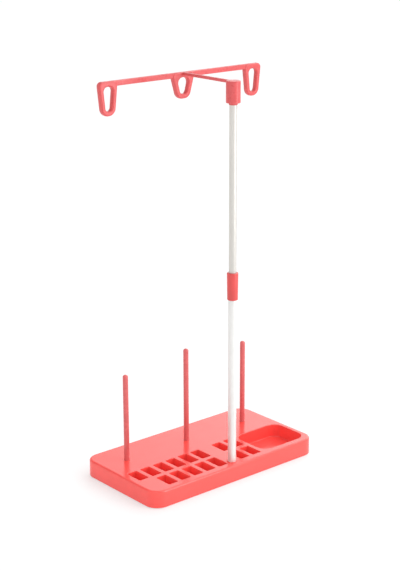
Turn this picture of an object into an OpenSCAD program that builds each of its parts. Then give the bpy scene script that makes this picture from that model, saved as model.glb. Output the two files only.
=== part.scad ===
// Three spool thread rack: a moulded base with bobbin slots and a tray, three spool pins,
// a telescopic mast with a twist lock collar, and a swivelling guide with three thread loops.
// Lengths are in millimetres. X runs along the base, Y from the mast side to the pin side,
// Z is up, and the origin is on the table under the middle of the base.

/* [Base] */
// Length of the base
base_l = 250; // [240:1:290]
// Width of the base
base_w = 134; // [132:1:170]
// Height of the base shell, without the feet
base_h = 20.3; // [19:0.1:26]
// Corner radius of the base in plan
base_corner_r = 16.5; // [14:0.5:22]
// Radius of the rounded edge around the top
top_edge_r = 2.4; // [1:0.1:3]
// Thickness of the outer walls
wall_t = 2.2; // [1.8:0.1:3]
// Thickness of the top deck
deck_t = 2.4; // [1.8:0.1:3]
// Thickness of the bottom cover
cover_t = 2.4; // [2.2:0.1:3]

/* [Bobbin slots] */
// Width of one slot, across a bobbin
slot_w = 13; // [12:0.1:14]
// Length of one slot, along a bobbin's diameter
slot_l = 24; // [22:0.5:25]
// Gap between the cover and the floors of the slots and the tray
pocket_gap = 0.3; // [0.2:0.1:5]
// Web between neighbouring slots in a row
slot_web = 5.75; // [4.5:0.25:6.5]
// Gap between the front row and the back row
row_gap = 6; // [4.5:0.5:8]
// Slot columns in the left group
left_columns = 6; // [4:1:6]
// Slot columns in the right group
right_columns = 2; // [1:1:2]
// Web between the two groups, which the mast stands in
group_gap = 20.8; // [18:0.1:24]
// Distance from the left end of the base to the first slot
slots_from_end = 10; // [8:0.5:14]
// Distance from the front of the base to the front row and the tray
slots_from_front = 9.8; // [8:0.2:14]
// Thickness of the walls and floors that hang below the deck
pocket_wall = 1.6; // [1.2:0.1:2]

/* [Tray] */
// Length of the tray
tray_l = 68; // [50:1:68]
// Corner radius of the tray
tray_r = 13; // [6:0.5:16]

/* [Spool pins] */
// Diameter of a spool pin
pin_d = 6.4; // [5:0.1:8]
// Height of the two outer pins above the deck
pin_h = 106.3; // [80:0.5:140]
// Height of the middle pin above the deck
middle_pin_h = 117.3; // [80:0.5:150]
// Distance of the outer pins from the ends of the base
pin_from_end = 34; // [25:1:50]
// Distance of the pins behind the middle of the base
pin_y = 28; // [16:1:36]
// Diameter of the spigot below a pin's shoulder
spigot_d = 4.8; // [4:0.1:5]
// Outer diameter of the boss that holds a pin
pin_boss_d = 10; // [9:0.5:14]

/* [Mast] */
// Distance of the mast from the front of the base
mast_from_front = 12; // [11:0.5:16]
// Outer diameter of the upper tube
upper_tube_d = 8.6; // [7:0.1:10]
// Wall of the upper tube
upper_tube_wall = 0.5; // [0.4:0.05:1]
// Wall of the lower tube
lower_tube_wall = 0.54; // [0.4:0.02:1]
// Length of the lower tube
lower_tube_l = 226; // [180:1:260]
// Length of the upper tube
upper_tube_l = 258; // [200:1:300]
// Length of upper tube that stays inside the lower tube when fully drawn out
tube_overlap = 30; // [20:1:60]
// Thickness of the material under the lower tube
mast_seat_t = 2.6; // [2:0.1:4]
// Wall of the socket around the lower tube
mast_boss_wall = 1.7; // [1.2:0.1:2]
// Width of the low ring around the foot of the mast
mast_ring_w = 1; // [0.8:0.1:2]
// Height of that ring above the deck
mast_ring_h = 0.7; // [0.4:0.1:1.5]
// Length of the threaded plug inside the lower tube
lower_plug_l = 14; // [10:1:20]
// Length of the spigot on the plug under the upper tube
upper_plug_l = 10; // [6:1:16]
// Thickness of the flange on that plug
upper_plug_flange = 1.5; // [1:0.1:3]

/* [Lock collar] */
// Length of the collar
collar_l = 32; // [26:0.5:40]
// Outer diameter at the top of the collar
collar_top_d = 13.1; // [12.9:0.1:16]
// Outer diameter at the bottom of the collar
collar_bottom_d = 12.3; // [12.2:0.1:15]
// Length of lower tube that the collar covers
collar_overlap = 15.6; // [12:0.1:20]
// Thickness of the lip at the top of the collar
collar_lip = 4; // [2:0.5:5]
// Length of the collet skirt over the lower tube
collet_skirt = 8; // [5:0.5:10]
// Wall of the collet skirt
collet_wall = 0.6; // [0.5:0.05:0.8]
// Width of the slits between the collet jaws
collet_slit = 0.8; // [0.5:0.1:1.2]
// Number of collet jaws
collet_jaws = 4; // [3:1:6]

/* [Guide head] */
// Outer diameter of the head
head_d = 16.2; // [13:0.1:20]
// Height of the head
head_h = 24.2; // [18:0.1:32]
// Thickness of the material above the bush
head_top_t = 3; // [2:0.1:4]
// Wall of the bush between the tube and the head
bush_wall = 0.53; // [0.4:0.01:1]
// Length of bush that shows below the head
bush_drop = 2.1; // [1:0.1:4]
// Thickness of the closed top of the bush
bush_top_t = 1.2; // [0.8:0.1:2]
// Width of the arm
arm_w = 3.6; // [3:0.1:6]
// Height of the arm
arm_h = 3.4; // [3:0.1:5]
// Length of the arm from the mast to the crossbar
arm_l = 86.5; // [60:0.5:100]
// Length of the tongue that plugs into the crossbar
tongue_l = 3; // [2:0.5:4]
// Width of the tongue
tongue_w = 2.4; // [1.6:0.1:2.8]
// Height of the tongue
tongue_h = 2.4; // [1.6:0.1:2.8]

/* [Crossbar and loops] */
// Thickness of the bar
bar_t = 4.8; // [4:0.1:6]
// Height of the bar
bar_h = 6; // [5:0.1:8]
// Thickness of the loops, which stand out in front of the bar and behind it
loop_t = 7; // [6.2:0.1:9]
// Distance of the outer loops from the middle
loop_spacing = 105.5; // [80:0.5:112]
// Height of an outer loop
loop_h = 38; // [30:0.1:45]
// Width of an outer loop at its top
loop_top_w = 25; // [22:0.1:28]
// Width of an outer loop at its bottom
loop_bottom_w = 19.6; // [17:0.1:22]
// Width of an outer loop's hole at its top
loop_hole_top_w = 12.2; // [9:0.1:14]
// Width of an outer loop's hole at its bottom
loop_hole_bottom_w = 8.4; // [6:0.1:10]
// Thickness of the bottom of a loop
loop_floor = 5.4; // [3:0.1:7]
// Outer radius of a loop's top corners
loop_top_r = 5; // [3:0.1:6]
// Outer radius of a loop's bottom corners
loop_bottom_r = 9; // [5:0.1:9.6]
// Height of the middle loop
middle_loop_h = 30; // [24:0.1:36]
// Width of the middle loop at its top
middle_loop_top_w = 31.2; // [28:0.1:34]
// Width of the middle loop at its bottom
middle_loop_bottom_w = 21.6; // [18:0.1:24]
// Width of the middle loop's hole at its top
middle_hole_top_w = 14.6; // [11:0.1:17]
// Width of the middle loop's hole at its bottom
middle_hole_bottom_w = 10.4; // [8:0.1:12]

/* [Fixings and feet] */
// Thread diameter of the small screws
screw_d = 3; // [2.5:0.1:3.2]
// Head diameter of the small screws
screw_head_d = 5.6; // [5:0.1:6]
// Head height of the small screws
screw_head_h = 1.4; // [1.2:0.1:1.6]
// Length of thread of the cover screws
cover_screw_l = 6; // [5:0.5:6.5]
// Length of thread of the pin screws
pin_screw_l = 10; // [8:0.5:12]
// Outer diameter of the bosses for the cover screws
screw_boss_d = 6.8; // [6.4:0.2:9]
// Distance of the corner screws from the ends of the base
screw_from_end = 16.5; // [15:0.5:20]
// Distance of the corner screws from the long sides of the base
screw_from_side = 27; // [24:0.5:30]
// Gap between the tray and the boss of the screw behind it
tray_screw_gap = 1; // [0.5:0.1:4]
// Thread diameter of the mast screw
mast_screw_d = 4; // [3:0.1:4.5]
// Length of thread of the mast screw
mast_screw_l = 14; // [12:0.5:16]
// Head diameter of the mast screw
mast_head_d = 7.4; // [6.5:0.1:8]
// Head height of the mast screw
mast_head_h = 2; // [1.6:0.1:2.2]
// Diameter of the washer under the mast screw
washer_d = 8.6; // [8:0.1:9.4]
// Thickness of the washer
washer_t = 0.6; // [0.4:0.1:1]
// Width of the cross recess in the screw heads
recess_w = 0.8; // [0.5:0.1:1]
// Diameter of a rubber foot
foot_d = 12; // [10:0.5:16]
// Height of a foot below the base
foot_drop = 1; // [0.8:0.1:3]
// Depth of the recess that holds a foot
foot_recess = 0.8; // [0.5:0.1:1.2]
// Distance of the feet from the ends of the base
foot_from_end = 17; // [15:0.5:24]
// Distance of the feet from the long sides of the base
foot_from_side = 13; // [11:0.5:16]

/* [Clearances] */
// Radial gap between the sliding tubes
slide_gap = 0.06; // [0.03:0.01:0.1]
// Radial gap where one piece turns on another
turn_gap = 0.05; // [0.02:0.01:0.1]
// Gap around pieces that stay still in their seats
seat_gap = 0.04; // [0.02:0.01:0.1]
// Gap between the cover and the walls of the base
cover_gap = 0.3; // [0.2:0.1:0.5]
// Gap left along the mast where one piece turns beside another
end_gap = 0.2; // [0.1:0.05:0.3]

/* [Hidden] */
$fn = 64;
// Tiny overshoot that keeps cuts clean
cut = 1;

// Heights
shell_z = foot_drop;
deck_z = shell_z + base_h;
deck_under_z = deck_z - deck_t;
cover_top_z = shell_z + cover_t;
pocket_floor_z = cover_top_z + pocket_gap + pocket_wall;

// Slot columns and rows
slot_pitch = slot_w + slot_web;
slots_x = slots_from_end - base_l / 2;
front_row_y = slots_from_front - base_w / 2;
back_row_y = front_row_y + slot_l + row_gap;
pocket_span_y = 2 * slot_l + row_gap;
left_end_x = slots_x + left_columns * slot_pitch - slot_web;
right_x = left_end_x + group_gap;
right_end_x = right_x + right_columns * slot_pitch - slot_web;
tray_x = right_end_x + slot_web;
// The front left place has no slot, because the corner boss of the cover is there
back_slots = [for (i = [0 : left_columns - 1]) [slots_x + i * slot_pitch, back_row_y]];
front_slots = [for (i = [1 : left_columns - 1]) [slots_x + i * slot_pitch, front_row_y]];
right_slots = [for (i = [0 : right_columns - 1], y = [front_row_y, back_row_y])
               [right_x + i * slot_pitch, y]];
slots = concat(back_slots, front_slots, right_slots);

// Pins
pin_r = pin_d / 2;
spigot_r = spigot_d / 2;
pin_floor_t = 2;
pin_seat_z = cover_top_z + screw_head_h + end_gap + pin_floor_t;
pin_tip = 0.8;

// Mast
mast_y = mast_from_front - base_w / 2;
upper_r = upper_tube_d / 2;
upper_ir = upper_r - upper_tube_wall;
lower_ir = upper_r + slide_gap;
lower_r = lower_ir + lower_tube_wall;
mast_floor_z = cover_top_z + end_gap + mast_head_h + washer_t;
mast_seat_z = mast_floor_z + mast_seat_t;
mast_boss_r = lower_r + seat_gap + mast_boss_wall;
lower_top_z = mast_seat_z + lower_tube_l;
upper_bottom_z = lower_top_z - tube_overlap;
upper_top_z = upper_bottom_z + upper_tube_l;

// Collar and collet
collar_z = lower_top_z - collar_overlap;
collar_top_z = collar_z + collar_l;
collet_r = lower_r + seat_gap + collet_wall;
collet_bore_r = upper_r + slide_gap;
collet_z = lower_top_z - collet_skirt;
collet_top_z = collar_top_z - collar_lip - end_gap;
collet_chamfer = 0.6;
collar_bore_r = collet_r + turn_gap;
collar_edge = 0.8;

// Guide
bush_r = upper_r + seat_gap + bush_wall;
bush_top_z = upper_top_z + bush_top_t;
head_bore_r = bush_r + turn_gap;
guide_top_z = bush_top_z + end_gap + head_top_t;
head_z = guide_top_z - head_h;
bush_z = head_z - bush_drop;
bar_y = mast_y + arm_l;
bar_end_x = loop_spacing + loop_top_w / 2 - loop_top_r;
head_edge = 0.5;

// Corner positions of the screws and feet
function corners(from_end, from_side) =
    [for (x = [-1, 1], y = [-1, 1]) [x * (base_l / 2 - from_end), y * (base_w / 2 - from_side)]];
strip_screw = [(left_end_x + right_x) / 2, back_row_y + slot_l / 2];
rear_screw = [0, pin_y + (base_w / 2 - pin_y) / 2];
corner_screws = corners(screw_from_end, screw_from_side);
// No screw fits under the tray, so the front right one stands behind it
tray_screw = [base_l / 2 - screw_from_end,
              front_row_y + pocket_span_y + pocket_wall + tray_screw_gap + screw_boss_d / 2];
cover_screw_spots = [corner_screws[0], corner_screws[1], corner_screws[3], tray_screw, strip_screw, rear_screw];
foot_spots = corners(foot_from_end, foot_from_side);
cover_head_z = shell_z + screw_head_h;
pin_spots = [for (i = [-1, 0, 1]) [i * (base_l / 2 - pin_from_end), pin_y]];

coral = [0.97, 0.45, 0.43];
deep_coral = [0.88, 0.33, 0.32];
guide_coral = [0.90, 0.42, 0.42];
satin_silver = [0.85, 0.83, 0.81];
steel = [0.62, 0.62, 0.64];
rubber_grey = [0.25, 0.25, 0.26];

// A rectangle with round corners, centred on the origin
module rounded_rectangle(l, w, r) {
    square([l - 2 * r, w], center = true);
    square([l, w - 2 * r], center = true);
    for (x = [-1, 1], y = [-1, 1])
        translate([x * (l / 2 - r), y * (w / 2 - r)]) circle(r);
}

// A quarter of the edge section, from the axis of a corner outwards
module edge_section(r, h, edge) {
    square([r, h - edge]);
    square([r - edge, h]);
    translate([r - edge, h - edge]) circle(edge);
}

// One straight run of the edge section, along the X axis
module edge_run(length, r, h, edge) {
    translate([-length / 2, 0, 0]) rotate([90, 0, 90]) linear_extrude(length) edge_section(r, h, edge);
}

// A slab with round corners in plan and a rounded top edge
module rounded_slab(l, w, h, r, edge) {
    translate([r - l / 2, r - w / 2, 0]) cube([l - 2 * r, w - 2 * r, h]);
    for (side = [-1, 1]) {
        rotate(side > 0 ? 0 : 180) translate([0, w / 2 - r, 0]) edge_run(l - 2 * r, r, h, edge);
        rotate(side * 90) translate([0, l / 2 - r, 0]) edge_run(w - 2 * r, r, h, edge);
    }
    for (x = [-1, 1], y = [-1, 1])
        translate([x * (l / 2 - r), y * (w / 2 - r), 0])
            rotate(x > 0 ? (y > 0 ? 0 : -90) : (y > 0 ? 90 : 180))
                rotate_extrude(angle = 90) edge_section(r, h, edge);
}

// A cylinder with both ends at given heights
module post(r, z0, z1) {
    translate([0, 0, z0]) cylinder(r = r, h = z1 - z0);
}

// A tube with both ends at given heights
module pipe(r, bore_r, z0, z1) {
    difference() {
        post(r, z0, z1);
        post(bore_r, z0 - cut, z1 + cut);
    }
}

// A pan head screw that points up, its head starting at z and its thread given by length
module screw(d, head_d, head_h, thread_l, z) {
    difference() {
        union() {
            post(head_d / 2, z, z + head_h);
            post(d / 2, z + head_h, z + head_h + thread_l);
        }
        for (turn = [0, 90])
            rotate(turn) translate([-head_d / 4, -recess_w / 2, z - cut])
                cube([head_d / 2, recess_w, cut + head_h / 2]);
    }
}

// The space of all slots and the tray, widened all round by grow and starting at height z
module pockets(z, grow) {
    for (s = slots)
        translate([s[0] - grow, s[1] - grow, z])
            cube([slot_w + 2 * grow, slot_l + 2 * grow, deck_z - z + (grow > 0 ? -deck_t / 2 : cut)]);
    translate([tray_x + tray_l / 2, front_row_y + pocket_span_y / 2, z])
        linear_extrude(deck_z - z + (grow > 0 ? -deck_t / 2 : cut))
            rounded_rectangle(tray_l + 2 * grow, pocket_span_y + 2 * grow, tray_r + grow);
}

// Moulded shell with the deck, the slot and tray pockets and the bosses
module base_shell() {
    color(coral) difference() {
        union() {
            difference() {
                translate([0, 0, shell_z])
                    rounded_slab(base_l, base_w, base_h, base_corner_r, top_edge_r);
                translate([0, 0, shell_z - cut]) linear_extrude(deck_under_z - shell_z + cut)
                    rounded_rectangle(base_l - 2 * wall_t, base_w - 2 * wall_t, base_corner_r - wall_t);
            }
            pockets(pocket_floor_z - pocket_wall, pocket_wall);
            for (p = pin_spots)
                translate(p) post(pin_boss_d / 2, cover_top_z, deck_z - deck_t / 2);
            for (s = cover_screw_spots)
                translate(s) post(screw_boss_d / 2, cover_top_z, deck_z - deck_t / 2);
            translate([0, mast_y, 0]) {
                post(mast_boss_r, cover_top_z, deck_z - deck_t / 2);
                post(lower_r + seat_gap + mast_ring_w, deck_z - deck_t / 2, deck_z + mast_ring_h);
            }
        }
        pockets(pocket_floor_z, 0);
        for (p = pin_spots)
            translate(p) {
                post(spigot_r + seat_gap, pin_seat_z, deck_z + cut);
                post(screw_d / 2 + seat_gap, cover_top_z, deck_z);
                post(screw_head_d / 2 + end_gap, cover_top_z - cut, pin_seat_z - pin_floor_t);
            }
        for (s = cover_screw_spots)
            translate(s)
                post(screw_d / 2 + seat_gap, cover_top_z - cut, cover_head_z + cover_screw_l + end_gap);
        translate([0, mast_y, 0]) {
            post(lower_r + seat_gap, mast_seat_z, deck_z + mast_ring_h + cut);
            post(mast_screw_d / 2 + seat_gap, cover_top_z, deck_z);
            post(washer_d / 2 + end_gap, cover_top_z - cut, mast_floor_z);
        }
    }
}

// Flat cover that closes the underside between the walls
module base_cover() {
    inset = wall_t + cover_gap;
    color(deep_coral) difference() {
        translate([0, 0, shell_z]) linear_extrude(cover_t)
            rounded_rectangle(base_l - 2 * inset, base_w - 2 * inset, base_corner_r - inset);
        for (s = cover_screw_spots)
            translate(s) {
                post(screw_d / 2 + end_gap, shell_z - cut, cover_top_z + cut);
                post(screw_head_d / 2 + end_gap, shell_z - cut, cover_head_z);
            }
        for (s = foot_spots)
            translate(s) post(foot_d / 2 + seat_gap, shell_z - cut, shell_z + foot_recess);
    }
}

// Screws that hold the cover to the shell
module cover_screws() {
    color(steel) for (s = cover_screw_spots)
        translate(s) screw(screw_d, screw_head_d, screw_head_h, cover_screw_l, shell_z);
}

// Rubber foot, seated in a recess of the cover
module foot(i) {
    color(rubber_grey) translate(foot_spots[i]) post(foot_d / 2, 0, shell_z + foot_recess);
}

// Spool pin with a round tip, a shoulder on the deck and a spigot in its boss
module spool_pin(i, h) {
    color(deep_coral) translate(pin_spots[i]) difference() {
        rotate_extrude() {
            translate([0, pin_seat_z]) square([spigot_r, deck_z - pin_seat_z]);
            translate([0, deck_z]) square([pin_r, h - pin_r * pin_tip]);
            translate([0, deck_z + h - pin_r * pin_tip]) scale([1, pin_tip]) intersection() {
                circle(pin_r);
                square(pin_r);
            }
        }
        post(screw_d / 2 + seat_gap, pin_seat_z - cut, pin_seat_z - pin_floor_t + pin_screw_l + end_gap);
    }
}

// Screws that hold the spool pins from below
module pin_screws() {
    color(steel) for (p = pin_spots)
        translate(p) screw(screw_d, screw_head_d, screw_head_h, pin_screw_l,
                           pin_seat_z - pin_floor_t - screw_head_h);
}

// Lower tube of the mast
module lower_tube() {
    color(satin_silver) translate([0, mast_y, 0]) pipe(lower_r, lower_ir, mast_seat_z, lower_top_z);
}

// Threaded plug in the foot of the lower tube
module lower_tube_plug() {
    color(steel) translate([0, mast_y, 0])
        pipe(lower_ir - seat_gap, mast_screw_d / 2 + seat_gap, mast_seat_z, mast_seat_z + lower_plug_l);
}

// Screw that holds the mast from below
module mast_screw() {
    color(steel) translate([0, mast_y, 0])
        screw(mast_screw_d, mast_head_d, mast_head_h, mast_screw_l, mast_floor_z - washer_t - mast_head_h);
}

// Washer under the mast screw
module mast_washer() {
    color(steel) translate([0, mast_y, 0])
        pipe(washer_d / 2, mast_screw_d / 2 + seat_gap, mast_floor_z - washer_t, mast_floor_z);
}

// Collet on the top of the lower tube, with slit jaws that grip the upper tube
module clamp_collet() {
    color(deep_coral) translate([0, mast_y, 0]) difference() {
        union() {
            post(collet_r, collet_z, collet_top_z - collet_chamfer);
            translate([0, 0, collet_top_z - collet_chamfer])
                cylinder(r1 = collet_r, r2 = collet_r - collet_chamfer, h = collet_chamfer);
        }
        post(lower_r + seat_gap / 2, collet_z - cut, lower_top_z);
        post(collet_bore_r, collet_z, collet_top_z + cut);
        for (i = [0 : collet_jaws - 1])
            rotate((i + 0.5) * 360 / collet_jaws)
                translate([0, -collet_slit / 2, lower_top_z + cut])
                    cube([collet_r + cut, collet_slit, collet_top_z - lower_top_z]);
    }
}

// Twist sleeve that squeezes the collet
module lock_collar() {
    color(coral) translate([0, mast_y, 0]) rotate_extrude() difference() {
        polygon([[0, collar_z], [collar_bottom_d / 2 - collar_edge, collar_z],
                 [collar_bottom_d / 2, collar_z + collar_edge],
                 [collar_top_d / 2, collar_top_z - collar_edge],
                 [collar_top_d / 2 - collar_edge, collar_top_z], [0, collar_top_z]]);
        translate([0, collar_z - cut]) square([lower_r + turn_gap, collar_l + 2 * cut - collar_lip]);
        translate([0, collet_z - end_gap])
            square([collar_bore_r, collet_top_z - collet_z + 2 * end_gap]);
        translate([0, collet_z]) square([upper_r + slide_gap, collar_l]);
    }
}

// Upper tube of the mast, which slides in the lower tube
module upper_tube() {
    color(satin_silver) translate([0, mast_y, 0]) pipe(upper_r, upper_ir, upper_bottom_z, upper_top_z);
}

// Plug in the foot of the upper tube, whose flange runs in the lower tube
module upper_tube_plug() {
    color(deep_coral) translate([0, mast_y, 0]) {
        post(upper_ir - seat_gap, upper_bottom_z, upper_bottom_z + upper_plug_l);
        post(upper_r + slide_gap / 2, upper_bottom_z - upper_plug_flange, upper_bottom_z);
    }
}

// Closed bush on the top of the upper tube, which the guide head turns on
module head_bush() {
    color(guide_coral) translate([0, mast_y, 0]) difference() {
        post(bush_r, bush_z, bush_top_z);
        post(upper_r + seat_gap / 2, bush_z - cut, upper_top_z);
    }
}

// Head and arm of the guide in one moulding, with a tongue for the crossbar
module guide_head_arm() {
    arm_end_y = bar_y - loop_t / 2;
    arm_mid_z = guide_top_z - arm_h / 2;
    color(guide_coral) difference() {
        union() {
            translate([0, mast_y, 0]) rotate_extrude()
                polygon([[0, head_z], [head_d / 2 - head_edge, head_z], [head_d / 2, head_z + head_edge],
                         [head_d / 2, guide_top_z - head_edge], [head_d / 2 - head_edge, guide_top_z],
                         [0, guide_top_z]]);
            translate([-arm_w / 2, mast_y, guide_top_z - arm_h])
                cube([arm_w, arm_end_y - mast_y, arm_h]);
            translate([-tongue_w / 2, mast_y, arm_mid_z - tongue_h / 2])
                cube([tongue_w, arm_end_y + tongue_l - mast_y, tongue_h]);
        }
        translate([0, mast_y, 0]) post(head_bore_r, head_z - cut, guide_top_z - head_top_t);
    }
}

// Outline of a loop or its hole, hanging from the X axis, with round corners
module loop_outline(top_w, bottom_w, h, top_r, bottom_r) {
    hull() for (side = [-1, 1]) {
        translate([side * (top_w / 2 - top_r), -top_r]) circle(top_r, $fn = 32);
        translate([side * (bottom_w / 2 - bottom_r), bottom_r - h]) circle(bottom_r, $fn = 32);
    }
}

// One thread loop of full thickness, standing in the plane of the bar
module thread_loop(x, top_w, bottom_w, h, hole_top_w, hole_bottom_w) {
    translate([x, bar_y + loop_t / 2, guide_top_z]) rotate([90, 0, 0]) linear_extrude(loop_t) difference() {
        loop_outline(top_w, bottom_w, h, loop_top_r, loop_bottom_r);
        translate([0, -bar_h]) loop_outline(hole_top_w, hole_bottom_w, h - bar_h - loop_floor,
                                            hole_top_w / 2.4, hole_bottom_w / 2.3);
    }
}

// Crossbar with its three thread loops in one moulding
module guide_crossbar() {
    tongue_z = guide_top_z - arm_h / 2;
    loop_front_y = bar_y - loop_t / 2;
    color(guide_coral) difference() {
        union() {
            translate([-bar_end_x, bar_y - bar_t / 2, guide_top_z - bar_h])
                cube([2 * bar_end_x, bar_t, bar_h]);
            for (side = [-1, 1])
                thread_loop(side * loop_spacing, loop_top_w, loop_bottom_w, loop_h,
                            loop_hole_top_w, loop_hole_bottom_w);
            thread_loop(0, middle_loop_top_w, middle_loop_bottom_w, middle_loop_h,
                        middle_hole_top_w, middle_hole_bottom_w);
        }
        translate([-tongue_w / 2 - seat_gap, loop_front_y - cut, tongue_z - tongue_h / 2 - seat_gap])
            cube([tongue_w + 2 * seat_gap, tongue_l + cut + seat_gap, tongue_h + 2 * seat_gap]);
    }
}

base_shell();
base_cover();
cover_screws();
foot(0);  // foot_front_left
foot(1);  // foot_back_left
foot(2);  // foot_front_right
foot(3);  // foot_back_right
spool_pin(0, pin_h);  // spool_pin_left
spool_pin(1, middle_pin_h);  // spool_pin_middle
spool_pin(2, pin_h);  // spool_pin_right
pin_screws();
lower_tube();
lower_tube_plug();
mast_screw();
mast_washer();
clamp_collet();
lock_collar();
upper_tube();
upper_tube_plug();
head_bush();
guide_head_arm();
guide_crossbar();
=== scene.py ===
import math

import bmesh
import bpy
from mathutils import Matrix, Vector

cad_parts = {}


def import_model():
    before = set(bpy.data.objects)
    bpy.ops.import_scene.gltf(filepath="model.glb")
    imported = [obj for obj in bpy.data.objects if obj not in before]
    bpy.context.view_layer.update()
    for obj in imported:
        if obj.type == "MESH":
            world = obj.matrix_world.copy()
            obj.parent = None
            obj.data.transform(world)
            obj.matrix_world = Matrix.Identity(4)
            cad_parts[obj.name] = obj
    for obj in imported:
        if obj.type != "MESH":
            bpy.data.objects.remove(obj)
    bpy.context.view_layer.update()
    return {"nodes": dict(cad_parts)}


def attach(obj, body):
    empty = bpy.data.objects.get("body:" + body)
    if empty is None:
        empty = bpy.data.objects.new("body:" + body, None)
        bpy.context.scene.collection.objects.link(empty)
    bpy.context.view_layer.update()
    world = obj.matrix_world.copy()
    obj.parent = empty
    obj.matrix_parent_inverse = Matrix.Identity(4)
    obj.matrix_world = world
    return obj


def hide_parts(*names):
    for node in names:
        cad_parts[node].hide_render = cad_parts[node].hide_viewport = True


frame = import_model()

METRE = 0.001

# Clearances between tubes that slide, pieces that turn, pieces that stay in their seats, and ends
SLIDE_GAP, TURN_GAP, SEAT_GAP, END_GAP = 0.06, 0.05, 0.04, 0.2

# Base: its shell, deck and cover
BASE_L, BASE_W, BASE_H, CORNER_R = 250.0, 134.0, 20.3, 16.5
WALL_T, DECK_T, EDGE_R, SIDE_DRAFT = 2.2, 2.4, 2.4, 0.2
COVER_T, COVER_GAP = 2.4, 0.3
SHELL_Z = 1.0
DECK_Z = SHELL_Z + BASE_H
DECK_UNDER = DECK_Z - DECK_T
COVER_TOP = SHELL_Z + COVER_T

# Slots and tray
SLOT_W, SLOT_L, SLOT_WEB, ROW_GAP = 13.0, 24.0, 5.75, 6.0
LEFT_COLUMNS, RIGHT_COLUMNS, GROUP_GAP = 6, 2, 20.8
SLOTS_FROM_END, SLOTS_FROM_FRONT = 10.0, 9.8
SLOT_CORNER_R, SLOT_LIP, SLOT_FLOOR_R = 1.3, 0.55, 1.0
TRAY_L, TRAY_R, TRAY_LIP, TRAY_FLOOR_R = 68.0, 13.0, 0.8, 1.2
POCKET_WALL, POCKET_GAP, POCKET_DRAFT, POCKET_BACK_R = 1.6, 0.3, 0.15, 1.2
SLOT_PITCH, ROW_PITCH = SLOT_W + SLOT_WEB, SLOT_L + ROW_GAP
FIRST_SLOT_X = SLOTS_FROM_END - BASE_L / 2
FRONT_ROW_Y = SLOTS_FROM_FRONT - BASE_W / 2
BACK_ROW_Y = FRONT_ROW_Y + ROW_PITCH
LEFT_END_X = FIRST_SLOT_X + LEFT_COLUMNS * SLOT_PITCH - SLOT_WEB
RIGHT_GROUP_X = LEFT_END_X + GROUP_GAP
TRAY_X, TRAY_W = RIGHT_GROUP_X + RIGHT_COLUMNS * SLOT_PITCH, ROW_PITCH + SLOT_L
POCKET_FLOOR_Z = COVER_TOP + POCKET_GAP + POCKET_WALL

# Screws and their bosses
SCREW_R, SCREW_HEAD_R, SCREW_HEAD_H, SCREW_PITCH = 1.5, 2.8, 1.4, 0.5
COVER_SCREW_L, PIN_SCREW_L = 6.0, 10.0
MAST_SCREW_R, MAST_HEAD_R, MAST_HEAD_H, MAST_SCREW_PITCH, MAST_SCREW_L = 2.0, 3.7, 2.0, 0.7, 14.0
WASHER_R, WASHER_T = 4.3, 0.6
SCREW_BOSS_R, SCREW_FROM_END, SCREW_FROM_SIDE, TRAY_SCREW_GAP = 3.4, 16.5, 27.0, 1.0
SCREW_HOLE_R = SCREW_R + SEAT_GAP
COVER_SCREW_END = SHELL_Z + SCREW_HEAD_H + COVER_SCREW_L + END_GAP

# Spool pins
PIN_R, PIN_H, MIDDLE_PIN_H, PIN_FROM_END, PIN_Y = 3.2, 106.3, 117.3, 34.0, 28.0
SPIGOT_R, PIN_BOSS_R, PIN_FLOOR_T = 2.4, 5.0, 2.0
# Height of a pin's round tip over its radius, and how much slimmer the pin gets up to it
PIN_TIP_RATIO, PIN_TAPER = 0.8, 0.07
PIN_X = BASE_L / 2 - PIN_FROM_END
PIN_FLOOR_Z = COVER_TOP + SCREW_HEAD_H + END_GAP
PIN_SEAT_Z = PIN_FLOOR_Z + PIN_FLOOR_T
PINS = {"spool_pin_left": (-PIN_X, PIN_H), "spool_pin_middle": (0, MIDDLE_PIN_H),
        "spool_pin_right": (PIN_X, PIN_H)}

# Places of the cover's screws and of the feet. No screw fits under the tray, so one stands behind it.
SCREW_X, SCREW_Y = BASE_L / 2 - SCREW_FROM_END, BASE_W / 2 - SCREW_FROM_SIDE
TRAY_SCREW_Y = FRONT_ROW_Y + TRAY_W + POCKET_WALL + TRAY_SCREW_GAP + SCREW_BOSS_R
COVER_SCREWS = [(-SCREW_X, -SCREW_Y), (-SCREW_X, SCREW_Y), (SCREW_X, SCREW_Y), (SCREW_X, TRAY_SCREW_Y),
                ((LEFT_END_X + RIGHT_GROUP_X) / 2, BACK_ROW_Y + SLOT_L / 2), (0, (PIN_Y + BASE_W / 2) / 2)]
FOOT_R, FOOT_RECESS, FOOT_FROM_END, FOOT_FROM_SIDE = 6.0, 0.8, 17.0, 13.0
FOOT_X, FOOT_Y, FOOT_TOP = BASE_L / 2 - FOOT_FROM_END, BASE_W / 2 - FOOT_FROM_SIDE, SHELL_Z + FOOT_RECESS
FEET = {"foot_front_left": (-FOOT_X, -FOOT_Y), "foot_front_right": (FOOT_X, -FOOT_Y),
        "foot_back_left": (-FOOT_X, FOOT_Y), "foot_back_right": (FOOT_X, FOOT_Y)}

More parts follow.
